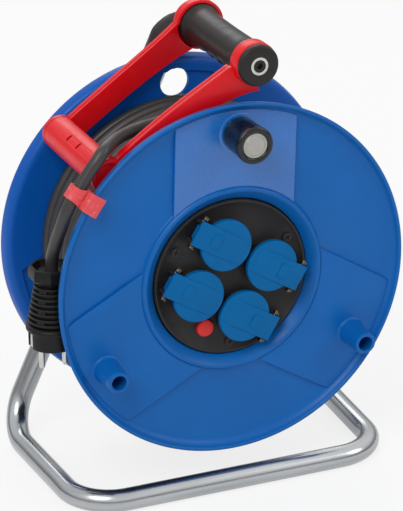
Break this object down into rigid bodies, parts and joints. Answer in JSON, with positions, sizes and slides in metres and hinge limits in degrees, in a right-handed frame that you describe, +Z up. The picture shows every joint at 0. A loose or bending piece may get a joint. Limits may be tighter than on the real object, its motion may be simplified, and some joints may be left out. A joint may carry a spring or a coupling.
{
  "type": "cable reel",
  "caption": "Extension cord reel: a two-flange drum of rubber cable on a bent tube stand, with a carrying handle, a crank knob, covered sockets, and a clipped-on plug.",
  "frame": {"origin": "centre of the bounding box's bottom face, on the floor, measured without the loose cable, the coil and the plug", "axes": "+Z up, +Y away from the socket side along the drum axis, +X to the right seen from the socket side"},
  "size_m": [0.3053, 0.193, 0.3698],
  "materials": {
    "galvanised_tube": "galvanised, glossy streaks",
    "black_plastic": "fine-grained moulding",
    "socket_plastic": "satin moulding",
    "zinc_steel": "zinc plated",
    "red_plastic": "satin gloss",
    "grip_plastic": "soft-touch",
    "bolt_steel": "blackened",
    "cable_rubber": "smooth rubber sheath",
    "plug_rubber": "moulded rubber",
    "contact_nickel": "nickel plated",
    "blue_plastic": "satin gloss",
    "lid_plastic": "satin",
    "earth_brass": "plain",
    "badge_plastic": "bare pale disc",
    "red_button": "translucent cap"
  },
  "bodies": {
    "frame": {"base_tube": "galvanised_tube", "tube_cap": "black_plastic", "top_clamp": "black_plastic", "hub_bracket": "zinc_steel", "bracket_bolts": "zinc_steel", "axle": "zinc_steel", "axle_ring": "zinc_steel", "front_arm": "red_plastic", "rear_arm": "red_plastic", "cable_guide": "red_plastic", "grip": "grip_plastic", "end_cap": "black_plastic", "cap_washer": "contact_nickel", "grip_bolt": "bolt_steel", "cable_clip": "red_plastic", "tail_cord": "cable_rubber", "plug_boot": "plug_rubber", "plug_body": "plug_rubber", "plug_pins": "contact_nickel", "plug_earth": "contact_nickel"},
    "drum": {"front_flange": "blue_plastic", "rear_flange": "blue_plastic", "barrel": "blue_plastic", "hub_bush": "black_plastic", "flange_screws": "zinc_steel", "cable_coil": "cable_rubber", "socket_panel": "socket_plastic", "socket_well_1": "socket_plastic", "socket_well_2": "socket_plastic", "socket_well_3": "socket_plastic", "socket_well_4": "socket_plastic", "earth_clips": "earth_brass", "hinge_pins": "contact_nickel", "lid_springs": "contact_nickel", "panel_screws": "zinc_steel", "crank_pin": "blue_plastic", "crank_screw": "zinc_steel", "hinge_ears": "socket_plastic", "front_rim": "blue_plastic", "rear_rim": "blue_plastic", "post_left": "blue_plastic", "post_right": "blue_plastic", "drum_web": "blue_plastic", "front_collar": "blue_plastic", "panel_top": "blue_plastic", "panel_left": "blue_plastic", "panel_right": "blue_plastic"},
    "crank": {"crank_knob": "black_plastic", "knob_badge": "badge_plastic"},
    "lid_a": {"lid_1": "lid_plastic"},
    "lid_b": {"lid_2": "lid_plastic"},
    "lid_c": {"lid_3": "lid_plastic"},
    "lid_d": {"lid_4": "lid_plastic"},
    "reset": {"reset_button": "red_button"}
  },
  "joints": [
    {"name": "drum_spin", "type": "hinge", "parent": "frame", "child": "drum", "pos_m": [0, 0.0295, 0.1775], "axis": [0, 1, 0], "continuous": true},
    {"name": "crank_spin", "type": "hinge", "parent": "drum", "child": "crank", "pos_m": [0.00459, -0.0805, 0.29691], "axis": [0, 1, 0], "continuous": true},
    {"name": "lid_1_hinge", "type": "hinge", "parent": "drum", "child": "lid_a", "pos_m": [-0.0301, -0.0663, 0.22189], "axis": [-0.5135, 0, -0.8581], "range_deg": [0, 100], "stiffness_Nm_per_rad": 0.008, "springref_deg": -34.38},
    {"name": "lid_2_hinge", "type": "hinge", "parent": "drum", "child": "lid_b", "pos_m": [0.05335, -0.0663, 0.17194], "axis": [0.5135, 0, 0.8581], "range_deg": [0, 100], "stiffness_Nm_per_rad": 0.008, "springref_deg": -34.38},
    {"name": "lid_3_hinge", "type": "hinge", "parent": "drum", "child": "lid_c", "pos_m": [-0.05335, -0.0663, 0.18306], "axis": [-0.5135, 0, -0.8581], "range_deg": [0, 100], "stiffness_Nm_per_rad": 0.008, "springref_deg": -34.38},
    {"name": "lid_4_hinge", "type": "hinge", "parent": "drum", "child": "lid_d", "pos_m": [0.0301, -0.0663, 0.13311], "axis": [0.5135, 0, 0.8581], "range_deg": [0, 100], "stiffness_Nm_per_rad": 0.008, "springref_deg": -34.38},
    {"name": "reset_push", "type": "slide", "parent": "drum", "child": "reset", "axis": [0, 1, 0], "range_m": [0, 0.0018], "stiffness_N_per_m": 300, "springref_m": -0.001}
  ]
}
